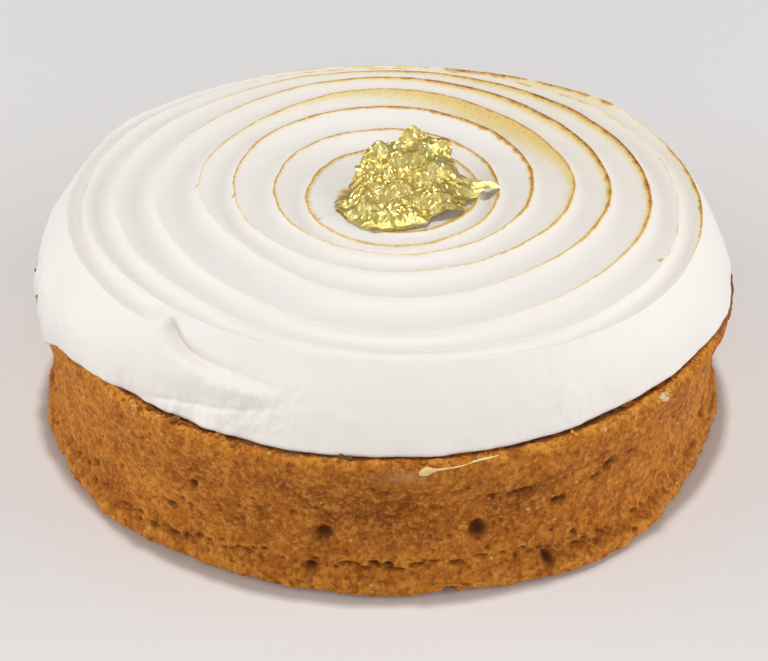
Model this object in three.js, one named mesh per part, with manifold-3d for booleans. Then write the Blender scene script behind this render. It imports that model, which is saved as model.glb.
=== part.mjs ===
// Lemon tart: a straight-sided sandy pastry case, a domed cap of meringue drawn
// into one spiral ridge with a palette knife, and a crumpled flake of gold leaf.
// Millimetres, +Z up, origin at the centre of the flat base, front towards -Y.
import * as THREE from "three";
import { mergeVertices } from "three/addons/utils/BufferGeometryUtils.js";
import Module from "manifold-3d";

const wasm = await Module();
wasm.setup();

// Pastry case
const CASE_HEIGHT = 17.5;
const FOOT_RADIUS = 39.9; // pressed out slightly where the case stood on the tray
const SEAM_HEIGHT = 2.6; // where the base disc meets the side strip
const WAIST_RADIUS = 38.9;
const RIM_RADIUS = 40.2;
const LIP_ROUND = 0.9; // rounding of the rim's outer edge
const CASE_SEGMENTS = 108;
// Holes in the crumb: angle round the case, height, width, tallness, depth
const CASE_PITS = [
  [-99.3, 8.0, 2.1, 1.7, 0.9],
  [-74.8, 8.0, 2.3, 2.5, 0.9],
  [-101.0, 3.4, 1.2, 0.9, 0.6],
  [-63.8, 3.0, 1.6, 1.0, 0.7],
  [-120.8, 10.3, 1.1, 1.1, 0.5],
  [-67.2, 11.5, 3.4, 0.9, 0.6],
  [-60.9, 9.4, 2.0, 0.8, 0.5],
  [-50.8, 11.3, 1.7, 1.5, 0.6],
  [-125.6, 5.9, 1.8, 0.8, 0.5],
];
const BACK_PITS = 9; // more of the same round the back

// Meringue cap
const CAP_GAP = 0.05; // between the case's top and the cap's flat underside
const DOME_HEIGHT = 28.0; // ridge height in the middle
const SHOULDER_REFERENCE = 35.0;
const DOME_SWELL = 1.24; // the ring round the middle stands a little higher
const DOME_FALL = 2.87; // and the shoulder lower
const BACK_DROP = 2.0; // the back of the shoulder was pressed lower
const BACK_ANGLE = 95;
const BACK_SPREAD = 55;
const CAP_EDGE_RADIUS = 39.2; // lower edge, just inside the rim
const CAP_EDGE_ROUND = 0.45;
const SIDE_BULGE = 0.45; // how far the sloping side stands out of a straight line
const GROOVE_DEPTH = 0.8; // ridge to trough
const GROOVE_DEPTH_LEFT = 1.15; // deeper on the left, where the knife pressed harder
const STEPS_PER_TURN = 72;
const LANES = [0, 0.09, 0.24, 0.44, 0.72]; // across one groove, from ridge to ridge
const TROUGH_LANE = 0.38; // the ridge is steep on its outer side and easy on its inner side
const FIRST_TURN = -0.366; // inner end of the ridge, in turns counted from the right
const LAST_TURN = 7.634; // outer end, where the knife left the fold at the front left
// Radius of the ridge at each eighth of a turn, one row a turn, from the front
// (front, front right, right, back right, back, back left, left, front left)
const RIDGE_START = -1.25;
const RIDGE_EIGHTHS = 8;
const RIDGE_RADII = [
  [8.0, 7.5, 7.0, 6.0, 5.0, 5.0, 5.2, 8.0],
  [10.7, 11.1, 10.6, 9.5, 8.4, 8.1, 8.6, 11.1],
  [13.5, 13.5, 12.8, 12.7, 12.7, 12.5, 12.6, 13.9],
  [15.3, 16.1, 16.8, 17.7, 18.3, 17.8, 17.3, 17.9],
  [19.0, 19.8, 21.5, 21.4, 23.1, 21.0, 21.3, 20.8],
  [24.1, 24.1, 25.6, 25.5, 27.4, 25.5, 26.2, 27.0],
  [29.9, 29.4, 30.2, 29.5, 31.2, 29.6, 30.8, 30.9],
  [32.6, 33.8, 33.4, 32.5, 33.9, 32.7, 34.2, 33.5],
  [33.9, 36.0, 36.2, 35.7, 35.6, 35.2, 36.4, 36.4],
  [36.2, 36.2, 36.2, 36.2, 36.2, 36.2, 36.2, 36.2],
].flat();

// Gold leaf
const LEAF_CENTRE = [1.5, -2.5];
const LEAF_REACH = 7.6;
// Lobes of its torn edge: angle, reach beyond the round, spread in degrees
const LEAF_LOBES = [
  [7, 3.9, 7],
  [52, 1.7, 8],
  [78, 1.5, 9],
  [99, -1.0, 6],
  [146, -2.5, 22],
  [180, -1.1, 12],
  [246, 1.4, 22],
  [316, -0.6, 10],
];
const LEAF_THICKNESS = 0.28;
const LEAF_LIFT = 0.35; // above the ridges it lies on
const LEAF_RISE = 2.7; // how far its back edge stands up
const LEAF_PEAK = 3.3; // where along its back edge it stands highest
const LEAF_RINGS = 8;
const LEAF_SPOKES = 60;

// Shared geometry helpers
function smooth(low, high, x) {
  return THREE.MathUtils.smoothstep(x, low, high);
}

function hump(angle, centre, spread) {
  const away = THREE.MathUtils.euclideanModulo(angle - centre + 180, 360) - 180;
  return Math.exp(-((away / spread) ** 2));
}

function seededDraw(seed) {
  let state = seed;
  return () => {
    state = (state * 1664525 + 1013904223) % 4294967296;
    return state / 4294967296;
  };
}

function solidFrom(geometry) {
  const plain = geometry.clone();
  plain.deleteAttribute("normal");
  plain.deleteAttribute("uv");
  const merged = mergeVertices(plain, 1e-4);
  const whole = [];
  const corners = merged.index.array;
  for (let i = 0; i < corners.length; i += 3) {
    const [a, b, c] = corners.slice(i, i + 3);
    if (a !== b && b !== c && c !== a) whole.push(a, b, c);
  }
  return new wasm.Manifold(
    new wasm.Mesh({
      numProp: 3,
      vertProperties: merged.attributes.position.array,
      triVerts: new Uint32Array(whole),
    }),
  );
}

function geometryFrom(points, triangles) {
  const geometry = new THREE.BufferGeometry();
  geometry.setAttribute("position", new THREE.Float32BufferAttribute(points, 3));
  geometry.setIndex(triangles);
  geometry.computeVertexNormals();
  return geometry;
}

function geometryFromSolid(solid) {
  const mesh = solid.getMesh();
  return geometryFrom(Array.from(mesh.vertProperties), Array.from(mesh.triVerts));
}

function piece(name, geometry, colour, roughness, metalness) {
  const material = new THREE.MeshStandardMaterial({ color: colour, roughness, metalness });
  const mesh = new THREE.Mesh(geometry, material);
  mesh.name = name;
  return mesh;
}

// Pastry case: a turned profile with an uneven wall, then the holes of its crumb
function wallRadius(height) {
  const flare = smooth(9, 15.5, height) * (RIM_RADIUS - WAIST_RADIUS);
  const low = 1 - smooth(SEAM_HEIGHT - 0.3, SEAM_HEIGHT + 1.2, height);
  const foot = low * (FOOT_RADIUS - WAIST_RADIUS);
  const seam = 0.35 * Math.exp(-(((height - SEAM_HEIGHT) / 0.45) ** 2));
  return WAIST_RADIUS + flare + foot - seam;
}

function wallUnevenness(angle, height) {
  const slow = 0.1 * Math.sin(3 * angle + 0.6) + 0.07 * Math.sin(7 * angle + 2.1);
  const bumps = 0.07 * Math.sin(19 * angle + Math.sin(0.7 * height)) * Math.sin(0.6 * height + 4 * angle);
  const grain = 0.05 * Math.sin(41 * angle + 2.0) * Math.sin(1.2 * height - 7 * angle);
  const low = 1 - smooth(0.8, 2.4, height);
  const ragged = 0.18 * low * Math.sin(29 * angle + 2.0 * Math.sin(5 * angle));
  return slow + bumps + grain + ragged;
}

function pastryCase() {
  const top = CASE_HEIGHT;
  const profile = [new THREE.Vector2(0, 0), new THREE.Vector2(wallRadius(0) - 0.7, 0)];
  for (const height of [0.7, 1.6, 2.3, SEAM_HEIGHT, 3.1, 4.4, 6.4, 8.6, 10.8, 12.8, 14.6]) {
    profile.push(new THREE.Vector2(wallRadius(height), height));
  }
  for (const turn of [0, 30, 60, 90]) {
    const bend = THREE.MathUtils.degToRad(turn);
    profile.push(
      new THREE.Vector2(
        RIM_RADIUS - LIP_ROUND + LIP_ROUND * Math.cos(bend),
        top - LIP_ROUND + LIP_ROUND * Math.sin(bend),
      ),
    );
  }
  profile.push(new THREE.Vector2(0, top));
  const turned = new THREE.LatheGeometry(profile, CASE_SEGMENTS).rotateX(Math.PI / 2);
  const place = turned.attributes.position;
  for (let i = 0; i < place.count; i += 1) {
    const [x, y, z] = [place.getX(i), place.getY(i), place.getZ(i)];
    const radius = Math.hypot(x, y);
    if (radius < 30) continue;
    const angle = Math.atan2(y, x);
    const stretch = 1 + wallUnevenness(angle, z) / radius;
    place.setXY(i, x * stretch, y * stretch);
  }
  const pits = [...CASE_PITS];
  const draw = seededDraw(11);
  for (let n = 0; n < BACK_PITS; n += 1) {
    const angle = -25 + (230 / BACK_PITS) * (n + 0.8 * draw());
    const height = 4 + 8.5 * draw();
    pits.push([angle, height, 1.1 + 1.6 * draw(), 0.8 + 0.8 * draw(), 0.5 + 0.3 * draw()]);
  }
  let solid = solidFrom(turned);
  for (const [degrees, height, width, tall, depth] of pits) {
    const angle = THREE.MathUtils.degToRad(degrees);
    const hole = new THREE.SphereGeometry(1, 8, 6);
    hole.scale(depth, width / 2, tall / 2);
    hole.translate(wallRadius(height) + wallUnevenness(angle, height), 0, height);
    hole.rotateZ(angle);
    solid = solid.subtract(solidFrom(hole));
  }
  return geometryFromSolid(solid);
}

// Meringue cap: the ridge winds outwards, and each groove is a strip from one
// turn of the ridge to the next
function ridgeRadius(turn) {
  const along = (turn - RIDGE_START) * RIDGE_EIGHTHS;
  const i = THREE.MathUtils.clamp(Math.floor(along), 1, RIDGE_RADII.length - 3);
  const u = along - i;
  const [a, b, c, d] = RIDGE_RADII.slice(i - 1, i + 3);
  return (
    b +
    0.5 * u * (c - a) +
    0.5 * u * u * (2 * a - 5 * b + 4 * c - d) +
    0.5 * u * u * u * (3 * b - a - 3 * c + d)
  );
}

function domeHeight(radius, degrees) {
  const share = radius / SHOULDER_REFERENCE;
  const away = THREE.MathUtils.euclideanModulo(degrees - BACK_ANGLE + 180, 360) - 180;
  const back = Math.max(0, 1 - (away / BACK_SPREAD) ** 2);
  const drop = BACK_DROP * back * Math.max(0, (radius - 20) / 15) ** 2;
  return DOME_HEIGHT + DOME_SWELL * share ** 2 - DOME_FALL * share ** 4 - drop;
}

function grooveDepth(turn, degrees) {
  const left = hump(degrees, 200, 60) * smooth(2.5, 4, turn);
  const depth = GROOVE_DEPTH + (GROOVE_DEPTH_LEFT - GROOVE_DEPTH) * left;
  const begins = smooth(FIRST_TURN, FIRST_TURN + 0.4, turn);
  const ends = 1 - smooth(LAST_TURN - 1.25, LAST_TURN - 1, turn);
  return depth * begins * ends;
}

function topPoint(turn, lane) {
  const angle = 2 * Math.PI * turn;
  const inner = ridgeRadius(turn);
  const radius = inner + (ridgeRadius(turn + 1) - inner) * lane;
  const degrees = THREE.MathUtils.radToDeg(angle);
  const skew = Math.log(0.5) / Math.log(TROUGH_LANE);
  const trough = grooveDepth(turn, degrees) * Math.sin(Math.PI * lane ** skew);
  const height = domeHeight(radius, degrees) - trough;
  return [radius * Math.cos(angle), radius * Math.sin(angle), height];
}

function edgeRadius(degrees) {
  const overhang = 1.0 * hump(degrees, 186, 24);
  const ragged = 0.12 + 0.3 * hump(degrees, 190, 40);
  const angle = THREE.MathUtils.degToRad(degrees);
  const waves = Math.sin(17 * angle + 0.7) * 0.6 + Math.sin(31 * angle + 2.0) * 0.4;
  return CAP_EDGE_RADIUS + overhang + ragged * waves;
}

// The tongue of meringue left lying on the side where the knife lifted
function foldSwell(degrees, down) {
  const along = smooth(-136, -128, degrees) * (1 - smooth(-112, -105, degrees));
  const low = 0.2 + 0.25 * smooth(-132, -112, degrees);
  return 0.7 * along * smooth(low - 0.12, low + 0.05, down) * (1 - smooth(0.72, 0.86, down));
}

function meringueCap() {
  const points = [];
  const triangles = [];
  const add = (point) => points.push(...point) / 3 - 1;
  const face = (a, b, c) => triangles.push(a, b, c);
  const turns = LAST_TURN - FIRST_TURN - 1;
  const steps = Math.round(turns * STEPS_PER_TURN);
  const lanes = LANES.length;
  const rows = [];
  for (let step = 0; step <= steps + STEPS_PER_TURN; step += 1) {
    const turn = FIRST_TURN + step / STEPS_PER_TURN;
    const across = step <= steps ? LANES : [0];
    rows.push(across.map((lane) => add(topPoint(turn, lane))));
  }
  // One groove: the next turn of the ridge is its far side
  const at = (step, lane) => (lane < lanes ? rows[step][lane] : rows[step + STEPS_PER_TURN][0]);
  for (let step = 0; step < steps; step += 1) {
    for (let lane = 0; lane < lanes; lane += 1) {
      const [a, b] = [at(step, lane), at(step, lane + 1)];
      const [c, d] = [at(step + 1, lane + 1), at(step + 1, lane)];
      face(a, b, c);
      face(a, c, d);
    }
  }
  // The patch inside the first turn
  const middle = add([1.2, -0.8, DOME_HEIGHT - 0.1]);
  for (let step = 0; step < STEPS_PER_TURN; step += 1) {
    face(middle, at(step, 0), at(step + 1, 0));
  }
  for (let lane = 0; lane < lanes; lane += 1) {
    face(middle, at(0, lane + 1), at(0, lane));
  }
  // The sloping side, ring by ring from the outer turn of the ridge to the lower edge
  const outer = steps;
  const shoulder = [];
  for (let step = 0; step <= STEPS_PER_TURN; step += 1) shoulder.push(rows[outer + step][0]);
  const bottom = CASE_HEIGHT + CAP_GAP;
  const ring = (pointAt) => {
    const made = [];
    for (let step = 0; step < STEPS_PER_TURN; step += 1) {
      const turn = FIRST_TURN + (outer + step) / STEPS_PER_TURN;
      const angle = 2 * Math.PI * turn;
      const degrees = THREE.MathUtils.euclideanModulo(360 * turn + 180, 360) - 180;
      const [radius, height] = pointAt(turn, degrees);
      made.push(add([radius * Math.cos(angle), radius * Math.sin(angle), height]));
    }
    return made;
  };
  const sidePoint = (down) => (turn, degrees) => {
    const blend = smooth(LAST_TURN - 0.2, LAST_TURN, turn);
    const top = ridgeRadius(turn) + (ridgeRadius(LAST_TURN - 1) - ridgeRadius(LAST_TURN)) * blend;
    const topHeight = domeHeight(top, degrees);
    const edge = edgeRadius(degrees);
    const edgeHeight = bottom + CAP_EDGE_ROUND;
    const bulge = SIDE_BULGE * Math.sin(Math.PI * down) + foldSwell(degrees, down);
    const radius = top + (edge - top) * down + 0.92 * bulge;
    return [radius, topHeight + (edgeHeight - topHeight) * down + 0.39 * bulge];
  };
  const rings = [0.16, 0.32, 0.48, 0.64, 0.82, 1].map((down) => ring(sidePoint(down)));
  rings.push(ring((turn, degrees) => [edgeRadius(degrees) - CAP_EDGE_ROUND, bottom]));
  for (let step = 0; step < STEPS_PER_TURN; step += 1) {
    const next = (step + 1) % STEPS_PER_TURN;
    face(shoulder[step], rings[0][step], rings[0][next]);
    face(shoulder[step], rings[0][next], shoulder[step + 1]);
    for (let i = 0; i + 1 < rings.length; i += 1) {
      face(rings[i][step], rings[i + 1][step], rings[i + 1][next]);
      face(rings[i][step], rings[i + 1][next], rings[i][next]);
    }
  }
  // The end of the last groove, closed where the knife lifted
  for (let lane = 0; lane < lanes; lane += 1) {
    face(rings[0][0], at(steps, lane), at(steps, lane + 1));
  }
  // The flat underside
  const under = add([0, 0, bottom]);
  const foot = rings[rings.length - 1];
  for (let step = 0; step < STEPS_PER_TURN; step += 1) {
    face(under, foot[(step + 1) % STEPS_PER_TURN], foot[step]);
  }
  return geometryFrom(points, triangles);
}

// Gold leaf: one thin sheet, torn round the edge and crumpled, standing up at the back
function leafReach(degrees) {
  return LEAF_LOBES.reduce(
    (reach, [angle, extra, spread]) => reach + extra * hump(degrees, angle, spread),
    LEAF_REACH,
  );
}

function crease(x, y, degrees, pitch, shift) {
  const bearing = THREE.MathUtils.degToRad(degrees);
  const across = (x * Math.cos(bearing) + y * Math.sin(bearing)) / pitch + shift;
  return Math.abs(2 * (across - Math.floor(across + 0.5)));
}

function leafHeight(x, y) {
  const peak = 0.45 + 0.55 * Math.exp(-(((x - LEAF_PEAK) / 4) ** 2));
  const rise = LEAF_RISE * peak * smooth(-7, 6, y);
  const tail = 1 - smooth(6.5, 10, x);
  const loose = tail * smooth(-12, -6, y);
  const broad = 0.6 * crease(x, y, 70, 5.2, 0.1);
  const fine = 0.4 * crease(x, y, 15, 3.9, 0.35) + 0.3 * crease(x, y, 130, 3.1, 0.6);
  const pinched = 0.3 * crease(x, y, 90, 1.6, 0.2);
  return DOME_HEIGHT + LEAF_LIFT + tail * rise + loose * (broad + fine) + (1 - tail) * pinched;
}

function goldLeaf() {
  const points = [];
  const triangles = [];
  const layers = [LEAF_THICKNESS, 0].map((lift) => {
    const layer = [];
    const add = (x, y) => points.push(x, y, leafHeight(x, y) + lift) / 3 - 1;
    layer.push([add(...LEAF_CENTRE)]);
    for (let ring = 1; ring <= LEAF_RINGS; ring += 1) {
      const row = [];
      for (let spoke = 0; spoke < LEAF_SPOKES; spoke += 1) {
        const degrees = (360 / LEAF_SPOKES) * spoke;
        const angle = THREE.MathUtils.degToRad(degrees);
        const reach = leafReach(degrees) * (ring / LEAF_RINGS);
        const x = LEAF_CENTRE[0] + reach * Math.cos(angle);
        row.push(add(x, LEAF_CENTRE[1] + reach * Math.sin(angle)));
      }
      layer.push(row);
    }
    return layer;
  });
  const [upper, lower] = layers;
  const both = (ringA, a, ringB, b, ringC, c) => {
    triangles.push(upper[ringA][a], upper[ringB][b], upper[ringC][c]);
    triangles.push(lower[ringA][a], lower[ringC][c], lower[ringB][b]);
  };
  for (let spoke = 0; spoke < LEAF_SPOKES; spoke += 1) {
    const next = (spoke + 1) % LEAF_SPOKES;
    both(0, 0, 1, spoke, 1, next);
    for (let ring = 1; ring < LEAF_RINGS; ring += 1) {
      both(ring, spoke, ring + 1, spoke, ring + 1, next);
      both(ring, spoke, ring + 1, next, ring, next);
    }
    const edge = LEAF_RINGS;
    triangles.push(upper[edge][spoke], lower[edge][spoke], lower[edge][next]);
    triangles.push(upper[edge][spoke], lower[edge][next], upper[edge][next]);
  }
  return geometryFrom(points, triangles);
}

const tart = new THREE.Group();
tart.name = "lemon_tart";
tart.add(piece("pastry_case", pastryCase(), 0xb9732c, 0.9, 0));
tart.add(piece("meringue_cap", meringueCap(), 0xf4f0ea, 0.5, 0));
tart.add(piece("gold_leaf", goldLeaf(), 0xd9b84a, 0.25, 1));

export default tart;
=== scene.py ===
import math

import bpy
import numpy as np
from mathutils import Matrix, noise


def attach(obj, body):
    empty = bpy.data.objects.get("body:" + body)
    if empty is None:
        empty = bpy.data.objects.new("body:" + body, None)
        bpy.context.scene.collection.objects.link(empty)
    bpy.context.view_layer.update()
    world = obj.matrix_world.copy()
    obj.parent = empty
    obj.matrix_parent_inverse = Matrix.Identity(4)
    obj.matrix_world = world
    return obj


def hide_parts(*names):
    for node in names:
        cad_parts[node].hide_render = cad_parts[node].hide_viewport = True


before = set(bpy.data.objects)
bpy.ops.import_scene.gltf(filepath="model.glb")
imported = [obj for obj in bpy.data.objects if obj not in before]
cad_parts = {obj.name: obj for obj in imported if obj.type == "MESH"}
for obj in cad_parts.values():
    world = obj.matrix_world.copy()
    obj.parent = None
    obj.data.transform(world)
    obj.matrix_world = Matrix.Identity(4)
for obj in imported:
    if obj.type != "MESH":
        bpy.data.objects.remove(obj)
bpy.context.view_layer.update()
bpy.ops.object.select_all(action="DESELECT")


# Pastry case
# A sandy sweet pastry: a strip pressed round the inside of a ring on to a base disc,
# baked golden brown, with holes in its crumb and a cracked seam where the two meet.
MM = 0.001
CASE_TOP = 17.5
FOOT_RADIUS = 39.9
WAIST_RADIUS = 38.9
RIM_RADIUS = 40.2
SEAM_HEIGHT = 2.6
MID_RADIUS = 39.0
LIP_ROUND = 0.9
LIP_RADIUS = RIM_RADIUS - LIP_ROUND
LIP_HEIGHT = CASE_TOP - LIP_ROUND
WALL_STEPS = 1040
BACK_HOLES = 26
PINHOLES = 150
SEAM_GAPS = 220
# angle round the case, height, width, tallness, depth
CRUMB_HOLES = [
    (-99.1, 7.3, 2.1, 1.7, 0.9),
    (-74.7, 7.1, 2.1, 2.6, 0.9),
    (-101.0, 2.9, 1.5, 0.8, 0.8),
    (-63.4, 2.2, 1.3, 1.2, 0.9),
    (-121.4, 9.8, 0.9, 1.1, 0.8),
    (-67.8, 11.4, 3.4, 0.9, 0.8),
    (-72.7, 11.9, 1.1, 0.7, 0.65),
    (-60.7, 8.4, 2.2, 0.8, 0.85),
    (-50.8, 10.8, 1.7, 1.6, 0.85),
    (-46.5, 10.9, 1.6, 0.7, 0.8),
    (-53.8, 9.9, 1.5, 0.6, 0.65),
    (-126.2, 5.6, 1.8, 0.8, 0.6),
    (-91.2, 3.7, 1.1, 0.6, 0.7),
    (-89.0, 3.5, 1.0, 0.5, 0.6),
    (-57.6, 3.5, 0.9, 0.6, 0.5),
    (-46.8, 1.5, 0.8, 0.6, 0.5),
    (-122.0, 6.7, 0.5, 0.5, 0.5),
    (-145.7, 4.2, 1.1, 0.7, 0.6),
    (-79.5, 0.3, 1.0, 1.2, 0.9),
]


# a soft step from 0 at low to 1 at high
def smooth(low, high, x):
    share = np.clip((np.asarray(x, float) - low) / (high - low), 0, 1)
    return share * share * (3 - 2 * share)


# 1 at the centre angle, falling off to both sides, in degrees
def hump(angle, centre, spread):
    away = (np.asarray(angle, float) - centre + 180) % 360 - 180
    return np.exp(-((away / spread) ** 2))


# soft random lumps of about this size, the same in every run
def cloud(places, size, shift=0.0):
    near = np.asarray(places, float) / size + shift
    return np.array([noise.noise(place) for place in near.tolist()])


# a piece's points, in millimetres
def mesh_places(piece):
    flat = np.empty(len(piece.data.vertices) * 3)
    piece.data.vertices.foreach_get("co", flat)
    return flat.reshape(-1, 3) / MM


def put_places(piece, places):
    piece.data.vertices.foreach_set("co", (places * MM).ravel())
    piece.data.update()


# an amount at each point, for the material to read by its name
def paint(piece, name, amount):
    layer = piece.data.attributes.new(name, "FLOAT", "POINT")
    layer.data.foreach_set("value", np.asarray(amount, np.float32))


# the plain wall: a foot, a dent at the seam, a waist, and a flare to the rim
def wall_radius(height):
    flare = smooth(9, 15.5, height) * (RIM_RADIUS - WAIST_RADIUS)
    low = 1 - smooth(SEAM_HEIGHT - 0.3, SEAM_HEIGHT + 1.2, height)
    dent = 0.35 * np.exp(-(((height - SEAM_HEIGHT) / 0.45) ** 2))
    return WAIST_RADIUS + flare + low * (FOOT_RADIUS - WAIST_RADIUS) - dent


# the ring was not quite round, and the wall bows in and tucks in under the rim in places
def wall_unevenness(angle, height):
    degrees = np.degrees(angle)
    slow = 0.1 * np.sin(3 * angle + 0.6) + 0.07 * np.sin(7 * angle + 2.1)
    bumps = 0.07 * np.sin(19 * angle + np.sin(0.7 * height)) * np.sin(0.6 * height + 4 * angle)
    drawn_in = 0.6 * hump(degrees, 0, 45) + 0.2 * hump(degrees, 180, 40)
    drawn_in = drawn_in * (1 - smooth(12, 15.5, height))
    tucked = 0.65 * hump(degrees, -170, 26) * smooth(12, 15.5, height)
    near_rim = smooth(14.5, 16, height)
    tucked = tucked + 0.4 * hump(degrees, -14, 14) * smooth(9, 11, height) * (1 - near_rim)
    tucked = tucked + 0.12 * hump(degrees, -5, 14) * near_rim
    return slow + bumps - drawn_in - tucked


# the base disc is pressed out further in some places than in others
def foot_spread(degrees, height):
    out = 0.4 * hump(degrees, -87, 17) + 1.5 * hump(degrees, -55, 15) + 0.4 * hump(degrees, -41, 5)
    out = out + 0.75 * hump(degrees, -138, 11)
    out = out + 0.3 * hump(degrees, 60, 25) + 0.3 * hump(degrees, 130, 20)
    tucked = 0.5 * hump(degrees, -22, 9) * (1 - smooth(3.5, 6, height))
    return out * (1 - smooth(1.5, 3.0, height)) - tucked


profile = [(FOOT_RADIUS - 1.5, 0.0), (FOOT_RADIUS - 0.9, 0.14), (FOOT_RADIUS - 0.35, 0.32)]
wall_heights = np.concatenate([np.linspace(0.45, 5, 30), np.linspace(5.28, LIP_HEIGHT - 0.2, 40)])
for height in wall_heights:
    profile.append((float(wall_radius(height)), float(height)))
for bend in np.radians(np.linspace(0, 90, 8)):
    profile.append((LIP_RADIUS + LIP_ROUND * math.cos(bend), LIP_HEIGHT + LIP_ROUND * math.sin(bend)))
for radius in (39.0, 38.7, 38.4, 38.0, 37.0):
    profile.append((radius, CASE_TOP))

bpy.ops.mesh.primitive_plane_add(size=0.001, location=(0, 0, 0))
case = bpy.context.object
case.name = "pastry_shell"
bpy.ops.object.mode_set(mode="EDIT")
bpy.ops.mesh.select_all(action="SELECT")
bpy.ops.mesh.merge(type="CENTER")
bpy.ops.transform.translate(value=(profile[0][0] * MM, 0, 0))
for (r0, z0), (r1, z1) in zip(profile, profile[1:]):
    move = ((r1 - r0) * MM, 0, (z1 - z0) * MM)
    bpy.ops.mesh.extrude_vertices_move(TRANSFORM_OT_translate={"value": move})
bpy.ops.mesh.select_all(action="SELECT")
bpy.ops.mesh.spin(steps=WALL_STEPS, angle=2 * math.pi, center=(0, 0, 0), axis=(0, 0, 1))
bpy.ops.mesh.select_all(action="SELECT")
bpy.ops.mesh.remove_doubles(threshold=0.000002)
bpy.ops.mesh.select_all(action="DESELECT")
bpy.ops.mesh.select_non_manifold()
bpy.ops.mesh.edge_face_add()
bpy.ops.mesh.select_all(action="DESELECT")
bpy.ops.mesh.select_non_manifold()
bpy.ops.mesh.fill_holes(sides=0)
bpy.ops.mesh.select_all(action="SELECT")
bpy.ops.mesh.normals_make_consistent(inside=False)
bpy.ops.object.mode_set(mode="OBJECT")

place = mesh_places(case)
radius = np.hypot(place[:, 0], place[:, 1])
angle = np.arctan2(place[:, 1], place[:, 0])
degrees = np.degrees(angle)
height = place[:, 2]
wall = smooth(36.5, 38.5, radius)
# the crumb: coarse lumps, sandy grains, and a ragged foot
grain = 0.20 * cloud(place, 2.6) + 0.14 * cloud(place, 1.15, 7.3) + 0.12 * cloud(place, 0.55, 3.1)
foot_rag = 0.35 * cloud(place * (1, 1, 0.4), 2.4, 5.5) + 0.2 * cloud(place, 0.9)
foot_rag = (1 - smooth(0.5, 2.2, height)) * foot_rag
push = wall_unevenness(angle, height) + foot_spread(degrees, height) + grain + foot_rag
# painted shade: how dark each point is coloured in the crumb holes and seam cracks, deeper holes darker
painted_hole_shade = np.zeros(len(place))
draw = np.random.default_rng(11)
holes = list(CRUMB_HOLES)
# more such holes over the sides and back, then pinholes all round
for n in range(BACK_HOLES):
    holes.append((-25 + 230 * draw.random(), 3 + 10 * draw.random(), 0.7 + 1.8 * draw.random(),
                  0.6 + 0.8 * draw.random(), 0.4 + 0.4 * draw.random()))
for n in range(PINHOLES):
    wide = 0.35 + 0.35 * draw.random()
    holes.append((360 * draw.random(), 1 + 14 * draw.random(), wide, 0.4 + 0.25 * draw.random(), 0.28))
# the cracked seam above the foot: short gaps in a wandering row
for n in range(SEAM_GAPS):
    turned = 1.64 * n + 1.2 * draw.random()
    from_front = abs((turned + 90 + 180) % 360 - 180)
    level = 3.5 - 0.9 * smooth(10, 45, from_front) + 0.3 * math.sin(math.radians(9 * turned))
    level = level + 0.7 * draw.random() - 0.35
    if draw.random() < 0.7:
        wide = 0.6 + 1.3 * draw.random() ** 2
        holes.append((turned, level, wide, 0.24 + 0.12 * draw.random() ** 2, 0.5))
# each hole dents the wall, and painted shade darkens it
for turned, level, wide, tall, deep in holes:
    across = ((degrees - turned + 180) % 360 - 180) * math.pi / 180 * MID_RADIUS
    near = np.flatnonzero((np.abs(across) < wide * 1.5) & (np.abs(height - level) < tall * 1.5))
    spread = (across[near] / (0.5 * wide)) ** 2 + ((height[near] - level) / (0.5 * tall)) ** 2
    spread *= 1 + 0.5 * cloud(place[near], 0.6, turned)
    dip = np.exp(-np.maximum(spread, 0) ** 1.6)
    push[near] -= deep * dip
    painted_hole_shade[near] = np.maximum(painted_hole_shade[near], dip * min(1, 0.4 + deep))
scale = 1 + wall * push / np.maximum(radius, 1)
place[:, 0] *= scale
place[:, 1] *= scale
# crags along the lip
on_lip = smooth(CASE_TOP - 1.1, CASE_TOP - 0.2, height) * smooth(37.5, 38.6, radius)
place[:, 2] += on_lip * (0.25 * cloud(place, 1.3, 9.0) + 0.18 * cloud(place, 0.6, 4.0))
place[:, 2] = np.maximum(place[:, 2], 0)
put_places(case, place)
bpy.ops.object.shade_smooth()
# what colours the crumb: painted shade in holes and cracks, lip, scorched top edge with painted gap shade,
# foot, a damp mark, browner patches with painted shade
paint(case, "painted_hole_shade", painted_hole_shade)
lip = smooth(CASE_TOP - 1.1, CASE_TOP - 0.6, height) * smooth(39.0, 39.5, radius)
paint(case, "lip", 0.75 * lip * (1 - hump(degrees, -155, 18)) * (1 - hump(degrees, 0, 28)))
# the flat top edge between lip and meringue: partly scorched crust, partly painted shade in the gap under
# the meringue's edge
top_edge = smooth(CASE_TOP - 0.12, CASE_TOP - 0.02, height) * (1 - smooth(39.3, 39.5, radius))
# at the right, the rim just under the meringue's fuller edge: partly scorched, partly painted shade
rim_scorch_and_shade = hump(degrees, 0, 13) * smooth(CASE_TOP - 2.4, CASE_TOP - 1.2, height)
paint(case, "scorch_and_gap_shade", np.maximum(top_edge, rim_scorch_and_shade))
paint(case, "foot", 0.8 * (1 - smooth(0.8, 3.2, height + 0.7 * cloud(place, 3.0, 1.0))))
damp = 0.6 * hump(degrees, -86.5, 3.5) * np.exp(-(((height - 15.9) / 0.7) ** 2))
paint(case, "damp", damp)
patchy = smooth(-0.15, 0.35, cloud(place, 4.5, 17.0) + 0.5 * cloud(place, 1.8, 2.0))
# the front wall darker: partly browner baking, partly painted shade where the front faces away from the
# side lights
browning_and_painted_shade = hump(degrees, -86, 40) * np.exp(-(((height - 10.5) / 6) ** 2)) * (0.45 + 0.55 * patchy)
# painted shade at the top of the wall at the right, below the meringue's edge
rim_shade = 0.7 * hump(degrees, 6, 22) * smooth(13.5, 15, height)
paint(case, "browning_and_painted_shade", np.maximum(1.05 * browning_and_painted_shade, rim_shade))


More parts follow.
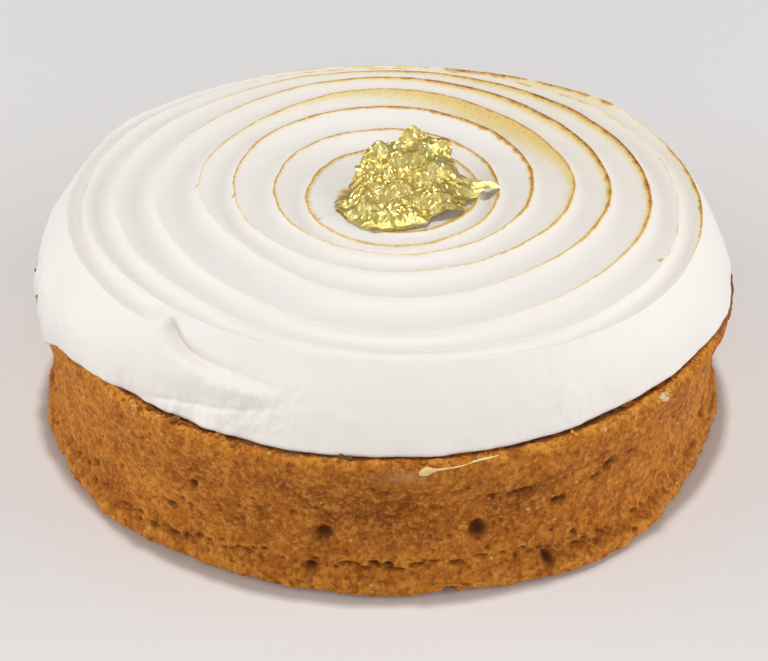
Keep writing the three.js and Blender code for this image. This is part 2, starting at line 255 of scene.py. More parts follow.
# a material, the parts it is wired with, and the object's own coordinates
def new_material(name):
    material = bpy.data.materials.new(name)
    material.use_nodes = True
    nodes = material.node_tree.nodes
    links = material.node_tree.links
    where = nodes.new("ShaderNodeTexCoord").outputs["Object"]
    return material, nodes, links, nodes["Principled BSDF"], where


def mix_colour(nodes, links, amount, first, second):
    mix = nodes.new("ShaderNodeMix")
    mix.data_type = "RGBA"
    for socket, value in ((mix.inputs[0], amount), (mix.inputs[6], first), (mix.inputs[7], second)):
        if isinstance(value, tuple):
            socket.default_value = (*value, 1)
        else:
            links.new(value, socket)
    return mix.outputs[2]


def noise_texture(nodes, links, where, scale, detail=3, rough=0.55):
    texture = nodes.new("ShaderNodeTexNoise")
    texture.inputs["Scale"].default_value = scale
    texture.inputs["Detail"].default_value = detail
    texture.inputs["Roughness"].default_value = rough
    links.new(where, texture.inputs["Vector"])
    return texture.outputs["Fac"]


def cells(nodes, links, where, scale):
    texture = nodes.new("ShaderNodeTexVoronoi")
    texture.inputs["Scale"].default_value = scale
    links.new(where, texture.inputs["Vector"])
    return texture


def multiply(nodes, links, first, second):
    product = nodes.new("ShaderNodeMath")
    product.operation = "MULTIPLY"
    links.new(first, product.inputs[0])
    links.new(second, product.inputs[1])
    return product.outputs[0]


# turns a value into colours or amounts, from stop to stop
def steps(nodes, links, value, *stops):
    ramp = nodes.new("ShaderNodeValToRGB")
    bar = ramp.color_ramp
    while len(bar.elements) < len(stops):
        bar.elements.new(0.5)
    for element, (spot, colour) in zip(bar.elements, stops):
        element.position = spot
        element.color = (*colour, 1) if isinstance(colour, tuple) else (colour, colour, colour, 1)
    links.new(value, ramp.inputs["Fac"])
    return ramp.outputs["Color"]


def attribute(nodes, name):
    node = nodes.new("ShaderNodeAttribute")
    node.attribute_name = name
    return node.outputs["Fac"]


def bump(nodes, links, height, depth, strength):
    node = nodes.new("ShaderNodeBump")
    node.inputs["Strength"].default_value = strength
    node.inputs["Distance"].default_value = depth
    links.new(height, node.inputs["Height"])
    return node.outputs["Normal"]


pastry, nodes, links, shader, where = new_material("baked_sandy_pastry")
patches = noise_texture(nodes, links, where, 130, 4, 0.65)
mottle = noise_texture(nodes, links, where, 560, 3, 0.6)
sand = noise_texture(nodes, links, where, 1900, 3, 0.7)
colour = steps(nodes, links, patches, (0.34, (0.49, 0.150, 0.013)), (0.52, (0.59, 0.198, 0.019)),
               (0.68, (0.67, 0.245, 0.029)))
orange = steps(nodes, links, mottle, (0.35, (0.52, 0.165, 0.014)), (0.65, (0.70, 0.28, 0.034)))
# the lip and foot in orange; the front wall and the right rim darker, partly browning and partly painted
# shade
for part, tone in (("lip", orange), ("foot", orange), ("browning_and_painted_shade", (0.22, 0.054, 0.003))):
    colour = mix_colour(nodes, links, attribute(nodes, part), colour, tone)
# the crumbs are cells with shaken outlines
wobble = nodes.new("ShaderNodeTexNoise")
wobble.inputs["Scale"].default_value = 1900
links.new(where, wobble.inputs["Vector"])
shaken = nodes.new("ShaderNodeVectorMath")
shaken.operation = "MULTIPLY_ADD"
shaken.inputs[1].default_value = (0.0009, 0.0009, 0.0009)
links.new(wobble.outputs["Color"], shaken.inputs[0])
links.new(where, shaken.inputs[2])
crumbs = cells(nodes, links, shaken.outputs[0], 1900).outputs["Color"]
# dark and light lumps, crumbs and grains: pattern, where it begins and ends, colour
for pattern, first, last, tone in (
        (mottle, (0.34, 0.45), (0.50, 0.0), (0.20, 0.046, 0.004)),
        (mottle, (0.55, 0.0), (0.68, 0.5), (0.70, 0.30, 0.045)),
        (crumbs, (0.15, 0.42), (0.48, 0.0), (0.25, 0.058, 0.004)),
        (crumbs, (0.55, 0.0), (0.88, 0.42), (0.74, 0.33, 0.060)),
        (sand, (0.36, 0.55), (0.48, 0.0), (0.16, 0.036, 0.004)),
        (sand, (0.56, 0.0), (0.70, 0.55), (0.74, 0.36, 0.075))):
    colour = mix_colour(nodes, links, steps(nodes, links, pattern, first, last), colour, tone)
# a few grains of sugar
sugar = cells(nodes, links, where, 620)
grain_middle = steps(nodes, links, sugar.outputs["Distance"], (0.06, 1.0), (0.15, 0.0))
few = steps(nodes, links, sugar.outputs["Color"], (0.64, 0.0), (0.68, 0.8))
sugar_grains = multiply(nodes, links, grain_middle, few)
colour = mix_colour(nodes, links, sugar_grains, colour, (0.78, 0.46, 0.14))
# the top edge's scorch and painted gap shade, a damp mark, and painted shade in the holes and cracks
for part, tone in (("scorch_and_gap_shade", (0.16, 0.052, 0.014)), ("damp", (0.50, 0.27, 0.10)),
                   ("painted_hole_shade", (0.080, 0.017, 0.003))):
    colour = mix_colour(nodes, links, attribute(nodes, part), colour, tone)
links.new(colour, shader.inputs["Base Color"])
shader.inputs["Roughness"].default_value = 0.72
shader.inputs["Specular IOR Level"].default_value = 0.15
fine = noise_texture(nodes, links, where, 3000, 2, 0.6)
links.new(bump(nodes, links, fine, 0.0003, 0.42), shader.inputs["Normal"])
case.data.materials.append(pastry)
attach(case, "root")
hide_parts("pastry_case")


# Meringue cap
# Soft meringue spread over the filled case and drawn into one spiral ridge with a palette
# knife on a turntable; the knife lifts off in a fold at the front left, and a torch has
# browned the ridge's edge, most at the back right.
CAP_BOTTOM = CASE_TOP + 0.05
DOME_HEIGHT = 28.0
CAP_EDGE = 39.2
FIRST_TURN = -0.366
LAST_TURN = 7.634
STEPS_A_TURN = 540
EDGE_ROUND = 0.45
SIDE_FROM = 34.5
SIDE_LENGTH = 10
# the way in which the sloping side faces, out and up
SLOPE_OUT = 0.88
SLOPE_UP = 0.45
# the mesh's lines across one groove, as shares of its width
LANES = np.array([0, 0.02, 0.045, 0.08, 0.13, 0.20, 0.29, 0.39, 0.50, 0.61, 0.72, 0.82,
                  0.90, 0.95, 0.98, 1.0])
# the ridge's radius at each eighth of a turn, one row a turn, from the front round by the right
RIDGE_START = -1.25
RIDGE_RADII = np.array([
    [8.0, 7.5, 7.0, 6.0, 5.0, 5.0, 5.2, 8.0],
    [10.7, 11.1, 10.6, 9.5, 8.4, 8.1, 8.6, 11.1],
    [13.5, 13.5, 12.8, 12.7, 12.7, 12.5, 12.6, 13.9],
    [15.3, 16.1, 16.8, 17.7, 18.3, 17.8, 17.3, 17.9],
    [19.0, 19.8, 21.5, 21.4, 23.1, 21.0, 21.3, 20.8],
    [24.1, 24.1, 25.6, 25.5, 27.4, 25.5, 26.2, 27.0],
    [29.9, 29.4, 30.2, 29.5, 31.2, 29.6, 30.8, 30.9],
    [32.6, 33.8, 33.4, 32.5, 33.9, 32.7, 34.2, 33.5],
    [33.9, 36.0, 36.0, 35.2, 35.8, 35.1, 36.2, 36.4],
    [36.2, 36.2, 36.2, 36.2, 36.2, 36.2, 36.2, 36.2],
]).ravel()
# how far the torch browned the ridge along its length: turn, amount
TOASTED = np.array([
    (-0.37, 0.8), (-0.05, 0.7), (0.1, 0.7), (0.45, 0.75), (0.56, 0.55), (0.68, 0.4), (0.85, 0.42),
    (0.95, 0.6), (1.02, 0.9), (1.15, 0.8), (1.4, 0.75), (1.52, 0.7), (1.62, 0.4), (1.7, 0.28),
    (1.8, 0.36), (1.92, 0.55), (2.0, 1.0), (2.2, 1.0), (2.4, 0.75), (2.5, 0.62), (2.54, 0.35),
    (2.6, 0.2), (2.67, 0.05), (2.73, 0.2), (2.85, 0.42), (3.0, 0.7), (3.1, 0.8), (3.3, 0.7),
    (3.42, 0.5), (3.5, 0.26), (3.54, 0.0), (3.76, 0.0), (3.82, 0.16), (3.9, 0.42), (3.98, 0.9),
    (4.06, 1.2), (4.2, 1.15), (4.32, 0.65), (4.4, 0.35), (4.46, 0.1), (4.5, 0.0), (4.8, 0.0),
    (4.86, 0.25), (4.93, 0.5), (5.0, 1.15), (5.14, 1.25), (5.25, 0.8), (5.34, 0.4), (5.4, 0.15),
    (5.45, 0.0), (5.9, 0.0), (5.96, 0.3), (6.06, 0.25), (6.15, 0.5), (6.3, 0.5), (6.38, 0.0),
    (6.92, 0.0), (6.96, 0.35), (7.0, 1.0), (7.05, 0.8), (7.07, 0.3), (7.10, 0.25), (7.11, 1.0),
    (7.21, 1.0), (7.23, 0.4), (7.3, 0.35), (7.37, 0.0), (8.0, 0.0),
])
# turns at which the outer ring's browned edge is broken
RING_BREAKS = (7.104, 7.122, 7.165, 7.222, 7.25, 7.28, 7.31)
# single browned spots: x, y, size; the last two are the scorched inner end of the ridge
TOASTED_SPOTS = [
    (-17.1, -3.0, 0.24),
    (-21.5, -0.3, 0.18),
    (30.4, -13.6, 0.28),
    (-4.4, -2.9, 0.9),
    (-4.2, -1.5, 0.8),
]
# where the fold lies on the side: angle, share of the way down
FOLD_TOP = np.array([(-131.8, 0.15), (-130.6, 0.20), (-129.0, 0.27), (-126.4, 0.343), (-122.6, 0.386),
                     (-118.4, 0.413), (-114.7, 0.41), (-110.5, 0.428), (-105.5, 0.44)])
FOLD_LOW = np.array([(-133.1, 0.976), (-125.2, 0.864), (-116.2, 0.764), (-110.5, 0.691), (-106.8, 0.589),
                     (-105.5, 0.45)])
# along the fold: angle, how much of the outer turn's form it keeps, how plump it is
FOLD_FORM = np.array([(-131.8, 1.0, 0.0), (-124, 0.68, 0.10), (-116, 0.34, 0.18), (-110, 0.2, 0.18),
                      (-105.5, 0.05, 0.0)])


# a smooth curve through the radii, with the tremble of the hand
def ridge_radius(turn):
    along = (np.asarray(turn, float) - RIDGE_START) * 8
    i = np.clip(np.floor(along).astype(int), 1, len(RIDGE_RADII) - 3)
    u = along - i
    a, b, c, d = (RIDGE_RADII[i + k] for k in (-1, 0, 1, 2))
    bend = 2 * a - 5 * b + 4 * c - d
    twist = 3 * b - a - 3 * c + d
    curve = b + 0.5 * u * (c - a) + 0.5 * u * u * bend + 0.5 * u ** 3 * twist
    hand = 0.05 * np.sin(71 * turn + 1) + 0.025 * np.sin(149 * turn) + 0.014 * np.sin(331 * turn + 2)
    return curve + hand


# the dome before it is grooved, lower at the back
def dome_height(radius, degrees):
    share = radius / 35
    away = (degrees - 95 + 180) % 360 - 180
    back = np.maximum(0, 1 - (away / 55) ** 2)
    drop = 2.0 * back * np.maximum(0, (radius - 20) / 15) ** 2
    return DOME_HEIGHT + 1.24 * share ** 2 - 2.87 * share ** 4 - drop


# deeper at the left, shallower in front, and fading out at both ends
def groove_depth(turn, degrees):
    left = hump(degrees, 200, 60) * smooth(2.5, 4, turn)
    begins = smooth(FIRST_TURN, FIRST_TURN + 0.4, turn)
    ends = 1 - 0.9 * smooth(LAST_TURN - 1.022, LAST_TURN - 1.002, turn)
    front = hump(degrees, -88, 45) * smooth(3, 4.5, turn)
    return (0.8 + 0.35 * left - 0.25 * front) * begins * ends


# where the meringue hangs over the rim at the left
def overhang(degrees):
    around = (degrees + 360) % 360
    return smooth(150, 172, around) * (1 - smooth(204, 226, around))


# the lower edge, fuller in some places than in others
def edge_radius(degrees):
    turned = np.radians(degrees)
    ragged = 0.12 + 0.1 * hump(degrees, 190, 40)
    waves = 0.6 * np.sin(17 * turned + 0.7) + 0.4 * np.sin(31 * turned + 2.0)
    full = 0.8 * overhang(degrees) + 0.78 * hump(degrees, -4, 30) - 0.5 * hump(degrees, -126, 9)
    full = full + 0.35 * hump(degrees, -164, 9) - 0.2 * hump(degrees, -45, 18)
    full = full - 0.12 * hump(degrees, 6, 7) + 0.25 * hump(degrees, -15, 7)
    full = full - 0.45 * hump(degrees, 176.5, 3.5)
    return CAP_EDGE + full + ragged * waves


# how far the side lies in the fold, the tongue of meringue that the knife left lying there,
# and in the crease above it
def in_fold(degrees, down):
    top_line = np.interp(degrees, *FOLD_TOP.T)
    low_line = np.interp(degrees, *FOLD_LOW.T)
    share = (down - top_line) / np.maximum(low_line - top_line, 0.02)
    inside = (degrees > -131.5) & (degrees < -105.5)
    loose = smooth(-131.8, -122, degrees)
    below = (1 - loose) + loose * (1 - smooth(0.4, 1.1, share))
    valley = 1.1 * np.exp(-(((down - top_line + 0.015) / 0.07) ** 2)) * smooth(-131.8, -131, degrees)
    valley = valley * (1 - 0.85 * smooth(-124, -110, degrees))
    under_line = np.exp(-(((down - low_line) / 0.024) ** 2))
    under_line = under_line * smooth(-133, -127, degrees) * (1 - smooth(-113, -106, degrees))
    joined = 1 - smooth(-131.8, -130.0, degrees)
    lying = np.maximum(smooth(-0.03, 0.14, down - top_line) * below, joined)
    return inside * lying, inside * (valley + 0.25 * under_line)


# the outer turns are browned in dashes
def dashes(turn, places):
    broken = smooth(5.85, 5.95, turn) * (1 - smooth(6.3, 6.5, turn))
    gaps = smooth(-0.05, 0.15, cloud(places, 2.6, 12.0))
    whole = 1 - broken * (1 - gaps)
    for place in RING_BREAKS:
        whole = whole * (1 - np.exp(-(((turn - place) / 0.004) ** 2)))
    return whole


# along the ridge: how brown its edge is, how uneven that line is, and the glow beside it
def ridge_toast(turn):
    around = 2 * np.pi * turn
    crest = ridge_radius(turn)
    places = np.stack([crest * np.cos(around), crest * np.sin(around), 0 * turn], -1)
    amount = np.interp(turn, *TOASTED.T) * dashes(turn, places)
    glow = np.interp(turn, *TOASTED.T) * (1 - 0.6 * smooth(5.6, 6, turn))
    uneven = 1 + 0.4 * cloud(places, 1.6) + 0.12 * cloud(places, 0.6, 5.0)
    return amount * np.clip(0.5 + 0.5 * uneven, 0.6, 1.3), np.clip(uneven, 0.5, 1.6), glow


# the outer turn stands up in a bead at the back right
def bead(turn, away):
    return 0.3 * smooth(0.08, 0.12, turn) * (1 - smooth(0.3, 0.4, turn)) * np.exp(-((away / 0.5) ** 2))


strip = round((LAST_TURN - FIRST_TURN - 1) * STEPS_A_TURN)
lanes = len(LANES)
# the spiral strip, one groove wide, from the middle out
turn = FIRST_TURN + np.arange(strip + 1) / STEPS_A_TURN
turn_grid, lane_grid = np.meshgrid(turn, LANES, indexing="ij")
inner = ridge_radius(turn_grid)
outer = ridge_radius(turn_grid + 1)
radius = inner + (outer - inner) * lane_grid
degrees = 360 * turn_grid
skew = math.log(0.5) / math.log(0.38)
drop = groove_depth(turn_grid, degrees) * np.sin(np.pi * lane_grid ** skew)
level = dome_height(radius, degrees) - drop
angle = 2 * np.pi * turn_grid
before = (1 - lane_grid) * (outer - inner)
after = lane_grid * (outer - inner)
level += bead(turn_grid - 6, before)
top = np.stack([radius * np.cos(angle), radius * np.sin(angle), level], -1).reshape(-1, 3)
# the browned edge and the golden glow beside it, most where the torch was held
amount_in, uneven_in, glow = (value[:, None] for value in ridge_toast(turn + 1))
amount_out, uneven_out, glow_out = (value[:, None] for value in ridge_toast(turn))
back_right = hump(degrees, 48, 62)
torched = back_right * smooth(1.2, 1.9, turn_grid)
band = np.exp(-(((turn_grid - 2.17) / 0.13) ** 2))
wide = 0.30 + 0.30 * torched + 1.4 * band
strong = 0.32 + 0.26 * torched + 0.1 * band
top_halo = glow * strong * np.exp(-((before / wide) ** 1.3)) + 0.05 * torched
top_halo += 0.5 * glow_out * strong * np.exp(-((after / 0.22) ** 1.3))
broad = 1 + 0.75 * back_right * smooth(-0.4, 0.9, turn_grid) * (1 - 0.4 * smooth(5.9, 6.0, turn_grid))
line_before = broad * (0.07 + 0.12 * amount_in) * uneven_in
line_after = broad * (0.045 + 0.05 * amount_out) * uneven_out
top_line = np.maximum(amount_in * np.exp(-((before / line_before) ** 2)),
                      amount_out * np.exp(-((after / line_after) ** 2)))

# the sloping side, from the outer turn of the ridge to the rim
DOWN = np.linspace(0, 1, 49)[1:]
UNDER = np.radians((22, 45, 68, 90))
columns = LAST_TURN - 1 + np.arange(1, STEPS_A_TURN + 1) / STEPS_A_TURN
column_grid, down_grid = np.meshgrid(columns, DOWN, indexing="ij")
degrees = (360 * column_grid + 180) % 360 - 180
shoulder = ridge_radius(column_grid)
shoulder_height = dome_height(shoulder, degrees)
# the lower edge is torn, most at the left and under the fold
turned = np.radians(degrees)
edge_places = np.stack([40 * np.cos(turned), 40 * np.sin(turned), 0 * turned], -1).reshape(-1, 3)
rag = cloud(edge_places, 0.9).reshape(degrees.shape)
torn = 0.35 * cloud(edge_places, 2.4).reshape(degrees.shape) + 0.2 * rag
near_edge = smooth(0.72, 1, down_grid)
torn = torn * near_edge * (0.35 + 1.4 * hump(degrees, 186, 26) + 1.6 * hump(degrees, -124, 11))
hanging = overhang(degrees)
edge = np.maximum(edge_radius(degrees) + torn, (RIM_RADIUS - 0.2) * hanging)
tab = 2.2 * hump(degrees, -162, 5.5)
edge_height = CAP_BOTTOM + EDGE_ROUND - (1.15 + tab) * hanging + 0.35 * hump(degrees, -45, 18)
edge_height = edge_height + 0.6 * rag * near_edge * hump(degrees, -124, 11)
swell = 0.45 * np.sin(np.pi * down_grid) + 0.45 * hanging * np.sin(np.pi * down_grid ** 2)
side_radius = shoulder + (edge - shoulder) * down_grid + SLOPE_OUT * swell
side_height = shoulder_height + (edge_height - shoulder_height) * down_grid + SLOPE_UP * swell
side_height += bead(column_grid - 7, SIDE_LENGTH * down_grid)
# the tongue carries on from the left end of the outer turn and side, thinner toward its tip
end_radius = np.concatenate([radius[-1], side_radius[-1]])
end_height = np.concatenate([level[-1], side_height[-1]])
length = np.concatenate([[0], np.cumsum(np.hypot(np.diff(end_radius), np.diff(end_height)))])
lying, valley = in_fold(degrees, down_grid)
kept = np.interp(degrees, FOLD_FORM[:, 0], FOLD_FORM[:, 1])
plump = np.interp(degrees, FOLD_FORM[:, 0], FOLD_FORM[:, 2])
carried_radius = np.interp(down_grid, length / length[-1], end_radius)
carried_height = np.interp(down_grid, length / length[-1], end_height)
side_radius += lying * (kept * (carried_radius - side_radius) + SLOPE_OUT * plump) - 0.5 * valley
side_height += lying * (kept * (carried_height - side_height) + SLOPE_UP * plump) - 0.25 * valley
# below, the edge rolls under on to the case, and where it hangs over the rim it goes back up
last_radius = edge[:, -1:]
last_height = edge_height[:, -1:]
under_radius = last_radius - EDGE_ROUND + EDGE_ROUND * np.cos(UNDER)
under_height = last_height - EDGE_ROUND * np.sin(UNDER)
over_radius = last_radius - np.array([0.12, 0.3, 0.5, 0.9])
over_height = last_height + (CASE_TOP + 0.1 - last_height) * np.array([-0.1, 0.35, 0.8, 1.0])
under_radius += hanging[:, -1:] * (over_radius - under_radius)
under_height += hanging[:, -1:] * (over_height - under_height)
side_radius = np.hstack([side_radius, under_radius])
side_height = np.hstack([side_height, under_height])
rows = side_radius.shape[1]
around = 2 * np.pi * columns[:, None]
side = np.stack([side_radius * np.cos(around), side_radius * np.sin(around), side_height], -1)
side = side.reshape(-1, 3)
amount, uneven, glow = (value[:, None] for value in ridge_toast(columns))
away = np.hstack([down_grid * SIDE_LENGTH, np.full((len(columns), len(UNDER)), SIDE_LENGTH + 2.0)])
side_line = amount * np.exp(-((away / (0.14 * uneven)) ** 2))

# the patch inside the first turn
PATCH = np.array([0.03, 0.08, 0.14, 0.2, 0.27, 0.34, 0.41, 0.48, 0.55, 0.63, 0.71, 0.79, 0.88])
start = top.reshape(strip + 1, lanes, 3)[:STEPS_A_TURN, 0]
middle = np.array([1.2, -0.8, DOME_HEIGHT - 0.1])
patch = start[:, None] + (middle - start)[:, None] * PATCH[:, None]
share = np.arange(STEPS_A_TURN)[:, None] / STEPS_A_TURN
dish = smooth(0, 0.15, share) * (1 - smooth(0.85, 1, share))
patch[:, :, 2] -= 0.4 * dish * np.sin(np.pi * PATCH) ** 0.7
patch_line = amount_out[:STEPS_A_TURN] * np.exp(-((PATCH * 8 / 0.25) ** 2))

# where each part's points begin in the list of all points
side_at = len(top)
patch_at = side_at + len(side)
middle_at = patch_at + patch.shape[0] * patch.shape[1]
under_at = middle_at + 1


# the number of a point, the same one where two parts share it
def on_strip(step, lane):
    if lane == lanes - 1 and step + STEPS_A_TURN <= strip:
        return (step + STEPS_A_TURN) * lanes
    return step * lanes + lane


def on_side(column, row):
    if row == 0:
        return on_strip(strip - STEPS_A_TURN + column, lanes - 1)
    return side_at + (column - 1) * rows + row - 1


def on_patch(step, row):
    if row == 0:
        return on_strip(step, 0)
    if row == len(PATCH) + 1:
        return middle_at
    return patch_at + step * len(PATCH) + row - 1


place = np.vstack([top, side, patch.reshape(-1, 3), middle, (0, 0, CAP_BOTTOM)])


# closes the gap between two rows of points that share no steps, by the shorter diagonal
def stitch(first, second):
    a = b = 0
    made = []
    while a + 1 < len(first) or b + 1 < len(second):
        reach_a = np.linalg.norm(place[first[min(a + 1, len(first) - 1)]] - place[second[b]])
        reach_b = np.linalg.norm(place[first[a]] - place[second[min(b + 1, len(second) - 1)]])
        if b + 1 == len(second) or (a + 1 < len(first) and reach_a <= reach_b):
            made.append((first[a], first[a + 1], second[b]))
            a += 1
        else:
            made.append((first[a], second[b + 1], second[b]))
            b += 1
    return [face for face in made if len(set(face)) == 3]


faces = []
for step in range(strip):
    for lane in range(lanes - 1):
        faces.append((on_strip(step, lane), on_strip(step, lane + 1), on_strip(step + 1, lane + 1),
                      on_strip(step + 1, lane)))
for column in range(1, STEPS_A_TURN):
    for row in range(rows):
        faces.append((on_side(column, row), on_side(column, row + 1), on_side(column + 1, row + 1),
                      on_side(column + 1, row)))
for step in range(STEPS_A_TURN - 1):
    for row in range(len(PATCH) + 1):
        corners = (on_patch(step, row), on_patch(step + 1, row), on_patch(step + 1, row + 1),
                   on_patch(step, row + 1))
        faces.append(tuple(dict.fromkeys(corners)))
for column in range(1, STEPS_A_TURN + 1):
    faces.append((under_at, on_side(column % STEPS_A_TURN + 1, rows), on_side(column, rows)))
end_cut = [on_strip(strip, lane) for lane in range(lanes)]
end_cut += [on_side(STEPS_A_TURN, row) for row in range(1, rows + 1)]
faces += stitch(end_cut, [on_side(1, row) for row in range(rows + 1)])
begin_cut = [on_strip(0, lane) for lane in range(lanes - 1, -1, -1)]
begin_cut += [on_patch(0, row) for row in range(1, len(PATCH) + 2)]
patch_end = [on_patch(STEPS_A_TURN - 1, row) for row in range(len(PATCH) + 2)]
faces += [face[::-1] for face in stitch(begin_cut, patch_end)]

# a soft unevenness, and small bubbles in a few places
radius = np.hypot(place[:, 0], place[:, 1])
degrees = np.degrees(np.arctan2(place[:, 1], place[:, 0]))
free = smooth(CAP_BOTTOM + 0.6, CAP_BOTTOM + 2.5, place[:, 2])
slow = 0.10 * cloud(place, 7.0, 3.0) + 0.05 * cloud(place, 3.0, 8.0)
bubbly = hump(degrees, -112, 11) * smooth(35.4, 36.0, radius) * (1 - smooth(38.4, 38.9, radius))
bubbly += 0.25 * hump(degrees, -62, 14) * smooth(34.5, 36.5, radius)
bubbly += 0.5 * hump(degrees, -122, 12) * smooth(22, 24, radius) * (1 - smooth(27, 29, radius))
bubbly += 1.3 * hump(degrees, 186, 18) * smooth(38.4, 39.4, radius)
bubbly = np.clip(bubbly + 0.2 * smooth(33.5, 35, radius), 0, 1.4)
froth = cloud(place * (1, 1, 0.6), 1.1, 2.0) + 0.5 * cloud(place * (1, 1, 0.6), 0.7, 6.0)
lift = free * (slow + 0.08 * bubbly * froth)
place[:, 2] += lift * np.where(radius > SIDE_FROM, 0.5, 1.0)
outward = free * np.where(radius > SIDE_FROM, 0.14 * bubbly * froth + 0.5 * slow, 0)
place[:, :2] *= (1 + outward / np.maximum(radius, 1))[:, None]

# no tool draws a groove along a spiral, so the mesh is made from the points
shape = bpy.data.meshes.new("meringue_spiral")
shape.from_pydata((place * MM).tolist(), [], faces)
cap = bpy.data.objects.new("meringue_spiral", shape)
bpy.context.collection.objects.link(cap)
line = np.concatenate([top_line.ravel(), side_line.ravel(), patch_line.ravel(), [0, 0]])
for x, y, size in TOASTED_SPOTS:
    away = np.hypot(place[:, 0] - x, place[:, 1] - y)
    line = np.maximum(line, 0.85 * np.exp(-((away / size) ** 2)))
paint(cap, "line", line)
paint(cap, "halo", np.concatenate([top_halo.ravel(), np.zeros(len(place) - top_halo.size)]))
paint(cap, "bubbly", bubbly)
bpy.ops.object.select_all(action="DESELECT")
cap.select_set(True)
bpy.context.view_layer.objects.active = cap
bpy.ops.object.mode_set(mode="EDIT")
bpy.ops.mesh.select_all(action="SELECT")
bpy.ops.mesh.delete_loose()
bpy.ops.mesh.normals_make_consistent(inside=False)
bpy.ops.object.mode_set(mode="OBJECT")
bpy.ops.object.shade_smooth()

meringue, nodes, links, shader, where = new_material("satin_meringue")
speckle = noise_texture(nodes, links, where, 2300, 3, 0.6)
cloudy = noise_texture(nodes, links, where, 90, 3, 0.5)
colour = mix_colour(nodes, links, cloudy, (0.885, 0.84, 0.80), (0.855, 0.81, 0.765))
# the golden glow beside the ridge, then its scorched edge
glow_specks = steps(nodes, links, speckle, (0.3, 0.65), (0.7, 1.2))
golden = multiply(nodes, links, attribute(nodes, "halo"), glow_specks)
halo_colour = steps(nodes, links, golden, (0.03, (0.80, 0.72, 0.52)), (0.30, (0.78, 0.62, 0.25)),
                    (0.60, (0.66, 0.40, 0.11)), (0.9, (0.48, 0.22, 0.05)))
halo_share = steps(nodes, links, golden, (0.0, 0.0), (0.22, 1.0))
colour = mix_colour(nodes, links, halo_share, colour, halo_colour)
line_specks = steps(nodes, links, speckle, (0.36, 0.5), (0.62, 1.0))
scorch = multiply(nodes, links, attribute(nodes, "line"), line_specks)
line_colour = steps(nodes, links, scorch, (0.06, (0.80, 0.66, 0.34)), (0.30, (0.70, 0.46, 0.13)),
                    (0.60, (0.52, 0.25, 0.050)), (0.85, (0.36, 0.135, 0.020)), (1.0, (0.20, 0.060, 0.010)))
line_share = steps(nodes, links, scorch, (0.03, 0.0), (0.25, 1.0))
colour = mix_colour(nodes, links, line_share, colour, line_colour)
links.new(colour, shader.inputs["Base Color"])
shader.inputs["Roughness"].default_value = 0.55
shader.inputs["Specular IOR Level"].default_value = 0.38
shader.inputs["Subsurface Weight"].default_value = 0.2
shader.inputs["Subsurface Radius"].default_value = (1.0, 0.95, 0.85)
shader.inputs["Subsurface Scale"].default_value = 0.0015
drawn_down = nodes.new("ShaderNodeMapping")
drawn_down.inputs["Scale"].default_value = (1, 1, 0.45)
links.new(where, drawn_down.inputs["Vector"])
froth = noise_texture(nodes, links, drawn_down.outputs["Vector"], 1100, 2, 0.5)
rough_patch = multiply(nodes, links, froth, attribute(nodes, "bubbly"))
links.new(bump(nodes, links, rough_patch, 0.0005, 0.45), shader.inputs["Normal"])
cap.data.materials.append(meringue)
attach(cap, "root")
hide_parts("meringue_cap")


# Gold leaf
# One torn flake of edible gold leaf, laid on the middle of the spiral with a brush;
# it is crumpled all over in small facets, lies down at the front and stands up at the back.
LEAF_CENTRE = (1.5, -2.5)
LEAF_REACH = 7.6
LEAF_RISE = 2.2
LEAF_PEAK = 3.3
LEAF_RINGS = 80
LEAF_SPOKES = 420
RING_STEP = 0.1
DISC_RADIUS = LEAF_RINGS * RING_STEP
FACETS_KEPT = 0.07
FOIL_THICKNESS = 0.08
# lobes and bays of the torn outline: angle, how far out, width
LEAF_LOBES = [(8, 3.6, 7), (-5, 1.3, 9), (52, 1.7, 8), (76, 1.1, 14), (98, -0.6, 6), (143, -2.0, 20),
              (165, -1.3, 12), (183, -1.9, 11), (205, 0.3, 12), (246, 1.2, 22), (305, -0.8, 9),
              (330, 0.7, 11)]


# folds like a fan's across the leaf, 0 in the valleys and 1 on the crests
def crease(x, y, bearing, pitch, shift):
    across = (x * math.cos(math.radians(bearing)) + y * math.sin(math.radians(bearing))) / pitch + shift
    return np.abs(2 * (across - np.floor(across + 0.5)))


bpy.ops.object.select_all(action="DESELECT")
bpy.ops.mesh.primitive_plane_add(size=0.001, location=(0, 0, 0))
leaf = bpy.context.object
leaf.name = "gold_flake"
bpy.ops.object.mode_set(mode="EDIT")
bpy.ops.mesh.select_all(action="SELECT")
bpy.ops.mesh.merge(type="CENTER")
for ring in range(LEAF_RINGS):
    bpy.ops.mesh.extrude_vertices_move(TRANSFORM_OT_translate={"value": (RING_STEP * MM, 0, 0)})
bpy.ops.mesh.select_all(action="SELECT")
bpy.ops.mesh.spin(steps=LEAF_SPOKES, angle=2 * math.pi, center=(0, 0, 0), axis=(0, 0, 1))
bpy.ops.mesh.select_all(action="SELECT")
bpy.ops.mesh.remove_doubles(threshold=0.0000003)
bpy.ops.mesh.normals_make_consistent(inside=False)
bpy.ops.object.mode_set(mode="OBJECT")
disc = mesh_places(leaf)
share = np.hypot(disc[:, 0], disc[:, 1]) / DISC_RADIUS
degrees = np.degrees(np.arctan2(disc[:, 1], disc[:, 0]))
reach = LEAF_REACH + sum(extra * hump(degrees, turned, spread) for turned, extra, spread in LEAF_LOBES)
turned = np.radians(degrees)
rim_place = np.stack([DISC_RADIUS * np.cos(turned), DISC_RADIUS * np.sin(turned), 0 * turned], -1)
reach += share ** 3 * (0.3 * cloud(rim_place, 1.2) + 0.2 * cloud(rim_place, 0.45, 4.0))
x = LEAF_CENTRE[0] + reach * share * np.cos(turned)
y = LEAF_CENTRE[1] + reach * share * np.sin(turned)
flat = np.stack([x, y, 0 * x], -1)
